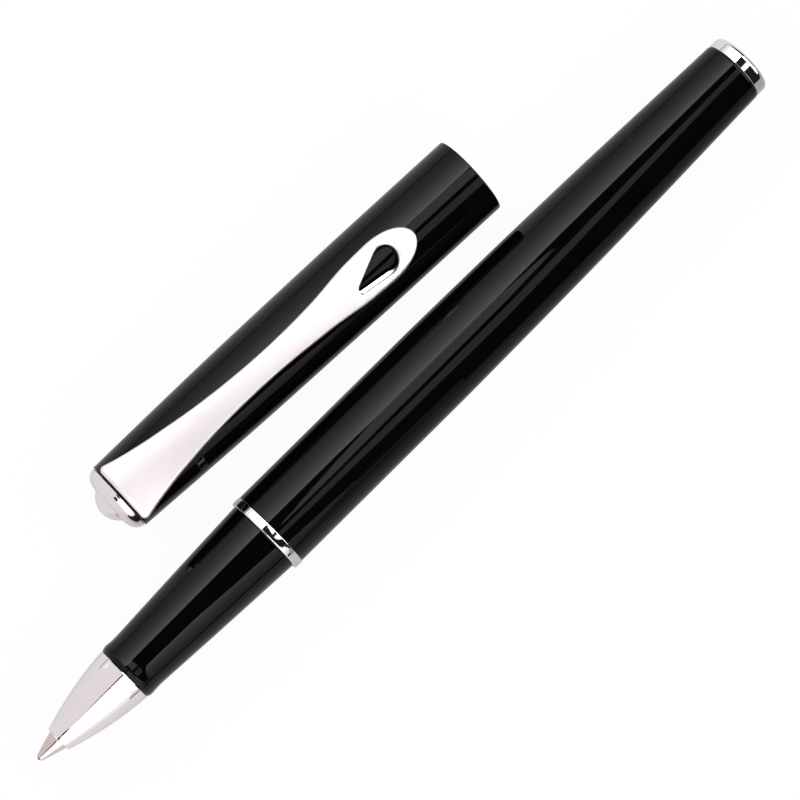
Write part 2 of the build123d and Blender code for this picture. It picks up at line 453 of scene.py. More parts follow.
# ---- materials ----
def lacquer():
    """Deep gloss black lacquer: a faint waviness, a little handling haze and a few specks of dust."""
    look = bpy.context.scene.pen_looks
    material, tree, shader, coords = blank("black lacquer")
    smudge = smudges(tree, coords, 150.0)
    dust = dusting(tree, coords, 1300.0, 0.012)
    dust_colour = (0.10, 0.10, 0.10)
    base = mixed(tree, smudge, look.lacquer_colour, shaded(look.lacquer_colour, 1.25))
    tree.links.new(mixed(tree, dust, base, dust_colour), shader.inputs["Base Color"])
    haze = between(tree, smudge, 0.02, 0.05)
    rough = math_node(tree, "ADD", haze, math_node(tree, "MULTIPLY", dust, 0.4), clamp=True)
    tree.links.new(rough, shader.inputs["Roughness"])
    bumped(tree, shader, noise_value(tree, coords, 260.0, 1.0), 0.03, 0.0002)
    set_inputs(shader, IOR=look.lacquer_ior)
    return material


def plated(name, colour, low, high, scratch):
    """Bright plate: hairlines and a soft unevenness in how sharply it reflects."""
    material, tree, shader, coords = blank(name)
    lines = use_group(
        tree, "hairline scratches", scratch_group, Vector=coords, Scale=700.0, Stretch=(0.25, 1, 1)
    ).outputs[0]
    cloud = smudges(tree, coords, 240.0)
    rough = between(tree, cloud, low, high)
    worn = math_node(tree, "ADD", rough, math_node(tree, "MULTIPLY", lines, scratch), clamp=True)
    tree.links.new(worn, shader.inputs["Roughness"])
    tree.links.new(mixed(tree, cloud, colour, shaded(colour, 0.97)), shader.inputs["Base Color"])
    bumped(tree, shader, noise_value(tree, coords, 320.0, 1.0), 0.02, 0.0002)
    set_inputs(shader, Metallic=1.0)
    return material


def chrome():
    look = bpy.context.scene.pen_looks
    return plated("chrome plate", look.chrome_colour, 0.03, 0.06, scratch=0.10)


def soft_chrome():
    """The clip's chrome, which reflects softly."""
    look = bpy.context.scene.pen_looks
    return plated("soft chrome", look.clip_colour, 0.36, 0.38, scratch=0.02)


def turned_metal(name, colour, pitch, rough, depth):
    """Turned metal: fine bands round the axis in its height and in how it reflects."""
    material, tree, shader, coords = blank(name)
    bands = use_group(tree, "turning lines", lathe_group, Vector=coords, Pitch=pitch).outputs[0]
    tree.links.new(between(tree, bands, rough * 0.6, rough * 1.5), shader.inputs["Roughness"])
    tint = noise_value(tree, coords, 400.0)
    tree.links.new(mixed(tree, tint, colour, shaded(colour, 0.82)), shader.inputs["Base Color"])
    bumped(tree, shader, bands, 0.25, depth)
    set_inputs(shader, Metallic=1.0)
    return material


def nickel_silver():
    return turned_metal("nickel silver", (0.82, 0.70, 0.66), pitch=0.00008, rough=0.10, depth=0.000003)


def brass():
    return turned_metal("turned brass", (0.78, 0.58, 0.28), pitch=0.00010, rough=0.22, depth=0.00003)


def spring_steel():
    return turned_metal("spring steel", (0.55, 0.55, 0.57), pitch=0.00006, rough=0.28, depth=0.00001)


def carbide():
    return turned_metal("carbide", (0.20, 0.20, 0.22), pitch=0.00003, rough=0.12, depth=0.000003)


def plastic(name, colour, low, high, grain):
    """Moulded plastic: a slight grain, cloudy variation in its gloss, and a little dust."""
    material, tree, shader, coords = blank(name)
    cloud = smudges(tree, coords, 180.0)
    dust = dusting(tree, coords, 1200.0, 0.01)
    dust_colour = (0.45, 0.44, 0.42)
    base = mixed(tree, cloud, colour, shaded(colour, 0.8))
    tree.links.new(mixed(tree, dust, base, dust_colour), shader.inputs["Base Color"])
    tree.links.new(between(tree, cloud, low, high), shader.inputs["Roughness"])
    bumped(tree, shader, noise_value(tree, coords, grain, 4.0), 0.15, 0.00003)
    set_inputs(shader, IOR=1.5)
    return material


def refill_plastic():
    return plastic("natural plastic", (0.72, 0.72, 0.68), 0.25, 0.40, grain=2500.0)


def dark_plastic():
    return plastic("dark plastic", (0.03, 0.03, 0.035), 0.35, 0.50, grain=4000.0)


def ink_felt():
    """Ink-soaked fibre: fine streaks along its length."""
    material, tree, shader, coords = blank("ink felt")
    stretched = node(tree, "ShaderNodeMapping", {"Vector": coords, "Scale": (60.0, 4000.0, 4000.0)})
    fibres = node(tree, "ShaderNodeTexNoise", {"Vector": stretched.outputs[0], "Scale": 1.0, "Detail": 4.0})
    streaks = fibres.outputs["Fac"]
    wet, dry = (0.008, 0.008, 0.014), (0.05, 0.05, 0.07)
    tree.links.new(mixed(tree, streaks, wet, dry), shader.inputs["Base Color"])
    tree.links.new(between(tree, streaks, 0.6, 0.9), shader.inputs["Roughness"])
    bumped(tree, shader, streaks, 0.5, 0.00005)
    return material


MAKERS = {
    "black_lacquer": lacquer,
    "chrome_trim": chrome,
    "soft_chrome": soft_chrome,
    "nickel_silver": nickel_silver,
    "brass": brass,
    "spring_steel": spring_steel,
    "carbide": carbide,
    "refill_plastic": refill_plastic,
    "refill_cap_plastic": dark_plastic,
    "liner_plastic": dark_plastic,
    "ink_felt": ink_felt,
}
made_finishes = {}


def finish_of(slot):
    """The material of a slot, made once."""
    if slot not in made_finishes:
        made_finishes[slot] = MAKERS[slot]()
    return made_finishes[slot]


# ---- settings ----
class PenLooks(bpy.types.PropertyGroup):
    """Colours and optical values of the pen's finishes."""

    lacquer_colour: bpy.props.FloatVectorProperty(
        name="Lacquer", description="Base colour of the lacquer", subtype="COLOR", size=3,
        default=(0.0012, 0.0010, 0.0010), min=0.0, max=1.0,
    )
    lacquer_ior: bpy.props.FloatProperty(
        name="Lacquer IOR", description="How strongly the lacquer mirrors its surroundings", default=1.28
    )
    chrome_colour: bpy.props.FloatVectorProperty(
        name="Chrome", description="Colour of the chrome plate", subtype="COLOR", size=3,
        default=(0.90, 0.838, 0.858), min=0.0, max=1.0,
    )
    clip_colour: bpy.props.FloatVectorProperty(
        name="Clip", description="Colour of the clip's softer chrome", subtype="COLOR", size=3,
        default=(0.98, 0.92, 0.93), min=0.0, max=1.0,
    )


class PenSizes(bpy.types.PropertyGroup):
    """Small shaping sizes that the frame leaves to the looks, in metres."""

    edge_round: bpy.props.FloatProperty(
        name="Edge rounding", description="Radius of the small edge curves", default=0.00015, unit="LENGTH"
    )
    clip_rim: bpy.props.FloatProperty(
        name="Clip rim", description="Width of the clip's rounded rim", default=0.00034, unit="LENGTH"
    )
    thread_pitch: bpy.props.FloatProperty(
        name="Thread pitch", description="Pitch of the barrel's thread", default=0.00075, unit="LENGTH"
    )


class StageLight(bpy.types.PropertyGroup):
    """The levels of the stage's light."""

    camera_distance: bpy.props.FloatProperty(
        name="Camera distance", description="From the camera to its target", default=0.47, unit="LENGTH"
    )
    lens: bpy.props.FloatProperty(name="Lens", description="Focal length in millimetres", default=177.75)
    floor_seen: bpy.props.FloatProperty(
        name="Floor seen", description="Brightness of the floor to the camera", default=1.0
    )
    floor_mirrored: bpy.props.FloatProperty(
        name="Floor mirrored", description="Brightness of the floor in reflections", default=0.80
    )


# ---- barrel ----
class PEN_OT_barrel(bpy.types.Operator):
    """Build the barrel, its trim ring and its end plug"""

    bl_idname = "pen.barrel"
    bl_label = "Barrel"

    def execute(self, context):
        edge = context.scene.pen_sizes.edge_round / MM
        barrel_shell(edge)
        trim_ring(edge)
        end_plug()
        return {"FINISHED"}


def barrel_shell(edge):
    """The barrel's tube: straight behind the ring, then tapering to its rounded rear edge."""
    front, rear = reach("barrel_tube", PEN)
    wide = radius("barrel_tube", PEN)
    bore, narrow_bore, rear_bore = 4.6, 3.7, 3.4
    straight_end = front + 28.0
    rear_r, rear_round = 4.14, 0.3
    steps = 16
    taper = flowing([(straight_end - 8, wide), (straight_end, wide), (91.5, 4.89), (rear, rear_r)], steps)
    front_edge = arc((front + edge / 2, wide - edge / 2), edge / 2, 180, 90, 4)
    rear_edge = arc((rear - rear_round, rear_r - rear_round + 0.02), rear_round, 85, 0, 6)
    outline = [
        (rear, rear_bore), (front + 70, narrow_bore), (front + 31, bore), (front, bore),
        (front, wide - edge / 2), *front_edge, *taper[steps:-2], *rear_edge, (rear, rear_bore),
    ]
    piece("barrel_shell", turned(outline), PEN, "barrel", "black_lacquer", "barrel_tube")


def trim_ring(edge):
    """The ring between grip and barrel, slightly crowned, with its rear edge sharper than its front one."""
    front, rear = reach("trim_ring", PEN)
    wide = radius("trim_ring", PEN)
    crown, rear_edge = 0.02, 0.08
    inner = 4.25
    outline = [
        (front, inner), *arc((front + edge, wide - crown - edge), edge, 180, 90),
        ((front + rear) / 2, wide),
        *arc((rear - rear_edge, wide - crown - rear_edge), rear_edge, 90, 0, 4), (rear, inner),
    ]
    piece("trim_band", turned(ring_outline(outline)), PEN, "barrel", "chrome_trim", "trim_ring")


def end_plug():
    """The plug in the rear end: a dished face, a rounded corner, and the spring's seat in its stem."""
    front, rear = reach("end_plug", PEN)
    head = reach("barrel_tube", PEN)[1]
    wide, corner = 4.11, 0.62
    dish_r, dish = 3.2, 0.22
    seat_r, seat_end, stem_r = 2.8, front + 3.4, 3.4
    floor_x = rear - dish
    outline = [
        (floor_x, 0), (floor_x, dish_r - 0.15), (floor_x + 0.05, dish_r - 0.04), (rear - 0.04, dish_r),
        (rear, dish_r + 0.05), *arc((rear - corner, wide - corner), corner, 0, 88, 10),
        (head + 0.05, wide), (head, wide - 0.05), (head, stem_r),
        (front, stem_r), (front, seat_r), (seat_end, seat_r), (seat_end, 0),
    ]
    piece("end_cap", turned(outline), PEN, "barrel", "chrome_trim", "end_plug")


# ---- section ----
class PEN_OT_section(bpy.types.Operator):
    """Build the grip, its threaded coupling and the nose cone"""

    bl_idname = "pen.section"
    bl_label = "Grip section"

    def execute(self, context):
        grip_shell()
        nose_shell()
        threaded_coupling(context.scene.pen_sizes.thread_pitch / MM)
        return {"FINISHED"}


def grip_shell():
    """The grip, with the bead at its front edge that the cap's liner holds."""
    front, rear = reach("grip_section", PEN)
    rear_r = radius("grip_section", PEN)
    bead = [
        (front, 3.62), (front + 0.06, 3.74), (front + 0.3, 3.86), (front + 0.75, 3.93),
        (front + 1.3, 3.895), (front + 1.9, 3.855), (front + 3.2, 3.90),
    ]
    outside = flowing([*bead, (front + 5.8, 4.04), (front + 12.8, 4.40), (rear - 0.12, rear_r)], 8)
    nose_seat_r, bore, coupling_seat_r = 3.52, 3.3, 4.2
    nose_seat_end = front + 5.8
    coupling_seat = rear - 7.8
    rear_edge = 0.1
    outline = [
        (front, nose_seat_r), *outside, *arc((rear - rear_edge, rear_r - rear_edge), rear_edge, 80, 0, 4),
        (rear, coupling_seat_r), (coupling_seat, coupling_seat_r), (coupling_seat, bore),
        (nose_seat_end, bore), (nose_seat_end, nose_seat_r),
    ]
    piece("grip_shell", turned(ring_outline(outline)), PEN, "section", "black_lacquer", "grip_section")


def nose_shell():
    """The nose: a rounded cone with its mouth round the writing tip and a spigot in the grip."""
    front, rear = reach("nose_cone", PEN)
    seam = reach("grip_section", PEN)[0]
    mouth_r, spigot_r, bore = 1.38, 3.5, 3.2
    cone = flowing([(front + 0.13, 1.74), (6.3, 2.53), (9.1, 3.14), (11.9, 3.57), (seam - 0.08, 3.79)], 12)
    outline = [
        (front + 0.5, mouth_r), (front + 0.1, mouth_r), (front, mouth_r + 0.08), (front, 1.60),
        (front + 0.03, 1.68), *cone, (seam - 0.02, 3.76), (seam, 3.70),
        (seam, spigot_r), (rear, spigot_r), (rear, bore), (seam, bore),
        (10.0, 2.75), (6.7, 2.0), (6.7, mouth_r),
    ]
    piece("nose_shell", turned(ring_outline(outline)), PEN, "section", "chrome_trim", "nose_cone")


def threaded_coupling(pitch):
    """The coupling with a real helical thread on its tail."""
    front, rear = reach("section_coupling", PEN)
    shoulder = reach("grip_section", PEN)[1]
    bore, plug_r, crest, root = 3.3, 4.2, 4.0, 3.62
    core_r = root + 0.01
    steps = 48
    bm = bmesh.new()
    start = shoulder + 0.5
    turns = int((rear - 0.4 - start) / pitch - 1)
    profile = [(0, root), (0.30 * pitch, crest), (0.45 * pitch, crest), (0.75 * pitch, root)]
    verts = [bm.verts.new((start + x, r, 0)) for x, r in profile]
    edges = [bm.edges.new(pair) for pair in zip(verts, verts[1:])]
    bmesh.ops.spin(
        bm, geom=verts + edges, cent=(0, 0, 0), axis=(1, 0, 0), dvec=(pitch / steps, 0, 0),
        angle=FULL_TURN * turns, steps=steps * turns, use_merge=False,
    )
    body = [
        (front, bore), (front, plug_r - 0.1), (front + 0.1, plug_r), (shoulder, plug_r), (shoulder, core_r),
        (rear - 0.2, core_r), (rear, root - 0.15), (rear, bore),
    ]
    core = turned(ring_outline(body))
    shell = bpy.data.meshes.new("core")
    core.to_mesh(shell)
    core.free()
    bm.from_mesh(shell)
    bpy.data.meshes.remove(shell)
    bmesh.ops.remove_doubles(bm, verts=bm.verts, dist=1e-4)
    piece("threaded_coupling", bm, PEN, "section", "brass", "section_coupling")


# ---- refill ----
class PEN_OT_refill(bpy.types.Operator):
    """Build the writing tip, the ball, the collar and the spring behind the refill"""

    bl_idname = "pen.refill"
    bl_label = "Refill"

    def execute(self, context):
        writing_tip()
        rolling_ball()
        tip_collar()
        refill_coil()
        return {"FINISHED"}


def writing_tip():
    """A turned cone that narrows in two steps to the lip rolled over the ball."""
    front, rear = reach("refill_tip", PEN)
    wide = radius("refill_tip", PEN)
    lip, stem_r, ink_bore = 0.43, 1.0, 0.28
    shoulder = 6.8
    outline = [
        (0.36, 0.372), (front + 0.02, 0.36), (front, lip - 0.03), (front + 0.04, lip), (0.62, 0.56),
        (1.5, 0.84), (3.05, wide - 0.03), (3.25, wide), (shoulder, wide), (shoulder, stem_r),
        (rear, stem_r), (rear, ink_bore), (0.6, ink_bore),
    ]
    piece("writing_tip", turned(ring_outline(outline)), PEN, "refill", "nickel_silver", "refill_tip")


def rolling_ball():
    size = radius("refill_ball", PEN)
    bm = bmesh.new()
    bmesh.ops.create_icosphere(bm, subdivisions=4, radius=size, matrix=Matrix.Translation((size, 0, 0)))
    piece("rolling_ball", bm, PEN, "ball", "carbide", "refill_ball")


def tip_collar():
    """The collar between tip and tube, with five low ribs round its cone."""
    front, rear = reach("refill_collar", PEN)
    cone_x, cone_r = 7.1, 1.85
    slope = 0.35 / 5.9
    rib = 0.06
    ribs = []
    for i in range(5):
        station = 8.2 + 0.9 * i
        base = cone_r + (station - cone_x) * slope
        crest = base + rib
        ribs += [(station, base), (station + 0.15, crest), (station + 0.45, crest), (station + 0.6, base)]
    tip_bore, wick_bore, bore_step = 1.02, 0.8, 10.8
    flange_r, spigot_r, flange_end = 3.0, 2.5, 17.0
    outline = [
        (front, tip_bore), (front, 1.62), (front + 0.1, 1.75), (cone_x, cone_r), *ribs, (13.0, 2.2),
        (15.5, flange_r), (flange_end, flange_r), (flange_end, spigot_r), (rear, spigot_r),
        (rear, wick_bore), (bore_step, wick_bore), (bore_step, tip_bore),
    ]
    collar = turned(ring_outline(outline), 96)
    piece("tip_collar", collar, PEN, "refill", "refill_cap_plastic", "refill_collar")


def refill_coil():
    """The refill's spring, which shortens as the refill is pushed back."""
    front, rear = reach("refill_spring", PEN)
    wire = 0.25
    size = radius("refill_spring", PEN) - wire
    bm = coil(size, wire, rear - front, 3.5)
    bmesh.ops.translate(bm, vec=(front, 0, 0), verts=bm.verts)
    made = piece("refill_coil", bm, PEN, "spring", "spring_steel", "refill_spring")
    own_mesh(made)


# ---- cap ----
class PEN_OT_cap(bpy.types.Operator):
    """Build the cap's tube, its finial and the small spring under the clip"""

    bl_idname = "pen.cap"
    bl_label = "Cap"

    def execute(self, context):
        edge = context.scene.pen_sizes.edge_round / MM
        cap_shell(edge)
        finial(edge)
        heel_spring()
        return {"FINISHED"}


def cap_shell(edge):
    """The cap's tube, from its closed end to its mouth, with the window for the clip's foot."""
    front, rear = reach("cap_tube", CAP)
    wide = radius("cap_tube", CAP)
    mouth_bore, liner_bore, insert_bore = 4.93, 4.62, 4.2
    mouth_bore_from, liner_from = rear - 20.2, 20.0
    front_r, front_edge = 4.52, 0.08
    taper = flowing([(front, 4.59), (12.0, 4.845), (23.4, 5.09), (42.0, wide)], 12)
    outline = [
        (front, insert_bore), (front, front_r),
        *arc((front + front_edge, front_r), front_edge, 180, 100, 3)[1:], *taper[1:],
        *arc((rear - edge, wide - edge), edge, 90, 0), (rear, mouth_bore + 0.05), (rear - 0.05, mouth_bore),
        (mouth_bore_from, mouth_bore), (mouth_bore_from, liner_bore), (liner_from, liner_bore),
        (liner_from, insert_bore),
    ]
    bm = turned(ring_outline(outline), 192)
    cut_window(bm, low=4.1, high=7.5, half=1.7)
    piece("cap_shell", bm, CAP, "cap", "black_lacquer", "cap_tube")


def cut_window(bm, low, high, half):
    """Opens the window in the tube's wall that the clip's foot goes down through."""
    sides = [
        ((low, 0, 0), (1, 0, 0)), ((high, 0, 0), (1, 0, 0)),
        ((0, half, 0), (0, 1, 0)), ((0, -half, 0), (0, 1, 0)),
    ]
    for point, normal in sides:
        bmesh.ops.bisect_plane(bm, geom=whole(bm), plane_co=point, plane_no=normal)
    inside = []
    for face in bm.faces:
        spot = face.calc_center_median()
        if low < spot.x < high and abs(spot.y) < half and spot.z > 0:
            inside.append(face)
    bmesh.ops.delete(bm, geom=inside, context="FACES")
    rims = [e for e in bm.edges if e.is_boundary]
    mid_wall = 4.4
    outer = [e for e in rims if min(v.co.yz.length for v in e.verts) > mid_wall]
    inner = [e for e in rims if max(v.co.yz.length for v in e.verts) < mid_wall]
    bmesh.ops.bridge_loops(bm, edges=outer + inner)


def finial(edge):
    """A polished shoulder with a domed button let into it."""
    front, rear = reach("finial_base", CAP)
    button_r = radius("finial_dome", CAP)
    stud_r, seat_r, wide = 1.25, 2.47, 4.47
    seat = front + 0.35
    shoulder = flowing([(front, 2.5), (1.33, 3.0), (1.53, 3.6), (1.80, 4.0), (2.15, 4.27), (2.6, 4.43)], 6)
    base = [
        (seat, stud_r), (seat, seat_r), *shoulder, *arc((rear - edge, wide - edge), edge, 90, 0, 4),
        (rear, stud_r),
    ]
    piece("finial_shoulder", turned(ring_outline(base)), CAP, "cap", "chrome_trim", "finial_base")
    crown = 1.42
    sphere = (button_r**2 + crown**2) / (2 * crown)
    span = math.degrees(math.asin(button_r / sphere))
    dome = arc((sphere, 0), sphere, 180, 180 - span, 20)
    foot, socket = 1.7, 1.0
    button = [
        *dome, (crown + 0.08, button_r), (foot, button_r), (foot, stud_r), (socket, stud_r), (socket, 0)
    ]
    piece("finial_button", turned(button), CAP, "cap", "chrome_trim", "finial_dome")


def heel_spring():
    """The small coil that presses on the clip's heel."""
    low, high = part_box("clip_spring")
    size, wire, turns = 0.52, 0.12, 4.5
    length = (high.z - low.z) / MM
    bm = coil(size, wire, length, turns, ends=1.0, steps=16, sides=6)
    upright = Matrix.Translation(((low.x + high.x) / 2, (low.y + high.y) / 2, low.z))
    place = upright @ Matrix.Rotation(-math.pi / 2, 4, "Y") @ Matrix.Scale(MM, 4)
    made = piece("heel_spring", bm, place, "cap", "spring_steel", "clip_spring")
    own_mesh(made)


# ---- clip ----
class PEN_OT_clip(bpy.types.Operator):
    """Build the waisted clip with its drop-shaped eye, its foot and its bead"""

    bl_idname = "pen.clip"
    bl_label = "Clip"

    def execute(self, context):
        rim = context.scene.pen_sizes.clip_rim / MM
        bm = clip_plate(rim)
        shape_clip(bm)
        clip_foot(bm)
        clip_bead(bm)
        piece("pocket_clip", bm, CAP, "clip", "chrome_trim", "clip", finish="soft_chrome")
        return {"FINISHED"}


# The clip along the cap: where it starts, where its loop is widest, and where it ends.
CLIP_START = 3.05
LOOP_X = 44.0
LOOP_R = 2.76
CLIP_END = 49.25
# The heights of its top and of its underside along it, and the radius of its crown across it.
CLIP_TOP = [(2.55, 5.55), (10.3, 6.25), (25.8, 6.95), (40.0, 7.0), (50.5, 6.45)]
CLIP_UNDER = [(2.55, 4.90), (10.3, 5.25), (25.8, 5.78), (40.0, 6.0), (50.5, 5.75)]
CLIP_CROWN = 18.0
# The eye: the middle of its round end, that end's radius, its point, and the radius of that.
EYE_X = 44.45
EYE_R = 1.70
EYE_POINT = 39.65
EYE_TIP_R = 0.55
# How far across the eye lies at EYE_X, and how much less of that there is for each millimetre onward.
EYE_SHIFT = -0.24
EYE_LEAN = 0.155
# How far in and how far down the outer and the inner edge of its ledge are from its rim.
EYE_STEP = (0.17, 0.36)
EYE_LEDGE = (0.48, 0.46)
# How far the clip leans across the cap, and where along it that starts and is complete.
CLIP_LEAN = -0.28
LEAN_START = 12
LEAN_LENGTH = 20


def clip_half():
    """One side of the clip's outline, from the shoulder's middle round to the middle of the loop's end."""
    side = flowing([
        (3.75, 4.0), (6.1, 3.42), (10.3, 2.68), (17.3, 1.88), (25.8, 1.56), (34.3, 1.94), (40.0, 2.60),
        (LOOP_X, LOOP_R),
    ])
    corner_r = 0.62
    corner = arc((CLIP_START + corner_r, 3.4), corner_r, 180, 96)
    steps = 24
    loop = []
    for i in range(1, steps):
        angle = math.radians(90 * i / steps)
        loop.append((LOOP_X + (CLIP_END - LOOP_X) * math.sin(angle), LOOP_R * math.cos(angle)))
    return [(CLIP_START, 0), *corner, *side, *loop, (CLIP_END, 0)]


def eye_half():
    """One side of the teardrop eye, from its round end back to its blunt point."""
    tip_x = EYE_POINT + EYE_TIP_R
    lean = math.degrees(math.acos((EYE_R - EYE_TIP_R) / (EYE_X - tip_x)))
    return [*arc((EYE_X, 0), EYE_R, 0, 180 - lean, 20), *arc((tip_x, 0), EYE_TIP_R, 180 - lean, 180)]


def clip_plate(rim):
    """The clip laid flat: its outline with the eye, rounded off all round in inset rings."""
    bm = bmesh.new()
    half = [bm.verts.new((x, y, 0)) for x, y in [*clip_half(), *eye_half()]]
    bm.faces.new(half)
    bmesh.ops.mirror(bm, geom=whole(bm), axis="Y", merge_dist=1e-4)
    bmesh.ops.remove_doubles(bm, verts=bm.verts, dist=1e-4)
    margin = 0.01
    for vert in bm.verts:
        x, y, _ = vert.co
        if EYE_POINT - margin < x < EYE_X + EYE_R + margin and abs(y) < EYE_R + margin:
            vert.co.y += eye_shift(x)
    bmesh.ops.recalc_face_normals(bm, faces=bm.faces)
    if bm.faces[:][0].normal.z < 0:
        bmesh.ops.reverse_faces(bm, faces=bm.faces)
    rings = 4
    core = bm.faces[:]
    for i in range(rings):
        start = math.radians(90 * i / rings)
        stop = math.radians(90 * (i + 1) / rings)
        step = rim * (math.cos(start) - math.cos(stop))
        rise = rim * (math.sin(stop) - math.sin(start))
        bmesh.ops.inset_region(bm, faces=core, use_boundary=True, use_even_offset=True, thickness=step)
        for vert in {v for face in core for v in face.verts}:
            vert.co.z += rise
    return bm


def shape_clip(bm):
    """Cuts the flat clip into small faces, gives it its thickness, and lays it along the cap."""
    gap = 0.5
    slices = [CLIP_START + gap * i for i in range(1, 92)]
    rows = [-3.0 + gap * i for i in range(13)]
    planes = [((x, 0, 0), (1, 0, 0)) for x in slices] + [((0, y, 0), (0, 1, 0)) for y in rows]
    for point, normal in planes:
        bmesh.ops.bisect_plane(bm, geom=whole(bm), plane_co=point, plane_no=normal)
    made = bmesh.ops.extrude_face_region(bm, geom=bm.faces[:])
    upper = {v for v in made["geom"] if isinstance(v, bmesh.types.BMVert)}
    rim_height = max(v.co.z for v in bm.verts)
    for vert in bm.verts:
        x, y = vert.co.x, vert.co.y
        if vert in upper:
            vert.co.z = clip_top(x, y) + vert.co.z - rim_height
        else:
            vert.co.z = clip_under(x, y)
    eye_ledge(bm, upper)
    for vert in bm.verts:
        vert.co.y += sideways(vert.co.x)


def clip_top(x, y):
    """How high the clip's crowned top is."""
    return height(CLIP_TOP, x) - y * y / (2 * CLIP_CROWN)


def clip_under(x, y):
    """How high the clip's underside is, which follows the cap's curve."""
    return math.sqrt(height(CLIP_UNDER, x) ** 2 - y * y)


def eye_ledge(bm, upper):
    """Draws the eye's wall on the side towards -Y in to a narrow sloping ledge below a short step."""
    rounding = bpy.context.scene.pen_sizes.clip_rim / MM
    wall = []
    for edge in bm.edges:
        one, other = edge.verts
        if (one in upper) != (other in upper) and on_eye_side(one.co.x, one.co.y):
            wall.append(edge)
    bmesh.ops.subdivide_edges(bm, edges=wall, cuts=1)
    ledge_end, end_fade, side_fade = EYE_X + 0.9, 1.4, 0.3
    for vert in bm.verts:
        x, y, z = vert.co
        if on_eye_side(x, y):
            rim = clip_top(x, y) - rounding
            depth = (rim - z) / (rim - clip_under(x, y))
            if depth > 0.1:
                inward, drop = EYE_LEDGE if depth > 0.9 else EYE_STEP
                along = max(0, (ledge_end - x) / end_fade)
                across = max(0, (eye_shift(x) - y) / side_fade)
                share = min(1, along, across)
                vert.co.y += inward * share
                vert.co.z += (rim - drop - z) * share


def eye_shift(x):
    """How far across the clip the eye lies: its point leans towards -Y."""
    return EYE_SHIFT - EYE_LEAN * (EYE_X - x)


def sideways(x):
    """How far across the cap the clip lies at x."""
    return CLIP_LEAN * min(1, max(0, (x - LEAN_START) / LEAN_LENGTH))


def on_eye_side(x, y):
    """Whether a place is on the edge of the eye, on the side towards -Y."""
    near = 0.02
    margin = 0.1
    y -= eye_shift(x)
    if y > -near or not EYE_POINT - margin < x < EYE_X + EYE_R + margin:
        return False
    spot = Vector((x, -y, 0))
    edge = [Vector((*point, 0)) for point in eye_half()]
    for start, end in zip(edge, edge[1:]):
        nearest, share = intersect_point_line(spot, start, end)
        beside = 0 <= share <= 1 and (nearest - spot).length < near
        if beside or (start - spot).length < near:
            return True
    return False


def clip_foot(bm):
    """The foot that goes down into the cap to the pivot."""
    pivot_x = 6.4
    length, width = 1.5, 2.6
    low = (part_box("clip")[0].z - CAP.translation.z) / MM
    top = 5.2
    foot = bmesh.ops.create_cube(bm, size=1.0)["verts"]
    size = Matrix.Diagonal((length, width, top - low, 1))
    middle_of_foot = Matrix.Translation((pivot_x, 0, (top + low) / 2))
    bmesh.ops.transform(bm, matrix=middle_of_foot @ size, verts=foot)
    edges = list({e for v in foot for e in v.link_edges})
    bmesh.ops.bevel(bm, geom=edges, offset=0.12, segments=3, profile=0.5, affect="EDGES", material=-1)


def clip_bead(bm):
    """The round bead under the loop that holds a pocket's edge."""
    bead_x, bead_r = 47.75, 0.6
    gap = 0.03
    spot = Matrix.Translation((bead_x, 0, radius("cap_tube", CAP) + gap + bead_r))
    bmesh.ops.create_uvsphere(bm, u_segments=32, v_segments=16, radius=bead_r, matrix=spot)


# ---- pieces carried over from the frame ----
class PEN_OT_inner(bpy.types.Operator):
    """Give the pieces carried over from the frame their finishes"""

    bl_idname = "pen.inner"
    bl_label = "Inner pieces"

    def execute(self, context):
        slots = {part["node"]: part["material_slot"] for part in frame["record"]["subparts"]}
        for name, cad in frame["nodes"].items():
            if cad.hide_render:
                continue
            cad.data.materials.clear()
            cad.data.materials.append(finish_of(slots[name]))
        return {"FINISHED"}


# ---- stage ----
class PEN_OT_stage(bpy.types.Operator):
    """Build the floor, the soft light panels, the surroundings and the camera"""

    bl_idname = "pen.stage"
    bl_label = "Stage"

    def execute(self, context):
        light = context.scene.pen_light
        floor(light)
        surroundings(context.scene)
        for name, (stations, level, fade) in PANELS.items():
            light_panel(name, stations, level, fade)
        front_panel()
        camera(context.scene, light)
        context.scene.view_settings.view_transform = "Standard"
        return {"FINISHED"}


# Each panel is an arc of a cylinder round the pen's axis, all of one radius. Its stations give a place
# along X, in metres, and the angles there at which it begins and ends, in degrees from straight up
# towards -Y. Then come its brightness at its upper edge, and the degrees over which that fades
# (0 for none).
PANEL_R = 0.75
PANELS = {
    "broad_panel": (
        [
            (-0.16, -88, -16.5), (0.045, -88, -16.5), (0.066, -88, -14), (0.135, -88, -14),
            (0.17, -88, -16.5), (0.60, -88, -15),
        ],
        5.4, 31.0,
    ),
    "thin_panel": (
        [(0.02, 9, 12), (0.045, -5, 13), (0.066, -14, 11), (0.135, -13, 9), (0.165, -4, 3)],
        2.0, 0,
    ),
    "side_panel": (
        [
            (0.0, 20, 26), (0.027, 20, 33), (0.066, 20, 38), (0.132, 20, 41), (0.21, 12, 29),
            (0.27, 2, 19), (0.31, -2, 10),
        ],
        1.25, 0,
    ),
    "low_panel": (
        [(-0.16, 32, 86), (-0.09, 34, 86), (-0.02, 57, 84), (0.016, 57, 82), (0.045, 69, 76)],
        3.4, 26.0,
    ),
    "low_haze": ([(0.016, 82, 88), (0.045, 70, 88), (0.10, 78, 88)], 0.35, 0),
    "rear_panel": ([(0.36, -14, 70), (1.2, -14, 70)], 4.5, 0),
    "nose_left": ([(-1.2, -90, -14), (-0.55, -90, -11), (-0.52, -90, -1.2), (-0.16, -90, -4)], 0.82, 0),
    "nose_right": ([(-1.2, 8, 74), (-0.55, 6, 74), (-0.52, 0.3, 74), (-0.16, 1, 74)], 1.7, 0),
    "nose_low": ([(-1.2, 74, 90), (-0.16, 74, 90)], 0.98, 0),
}
FRONT_PANEL_X = -1.2
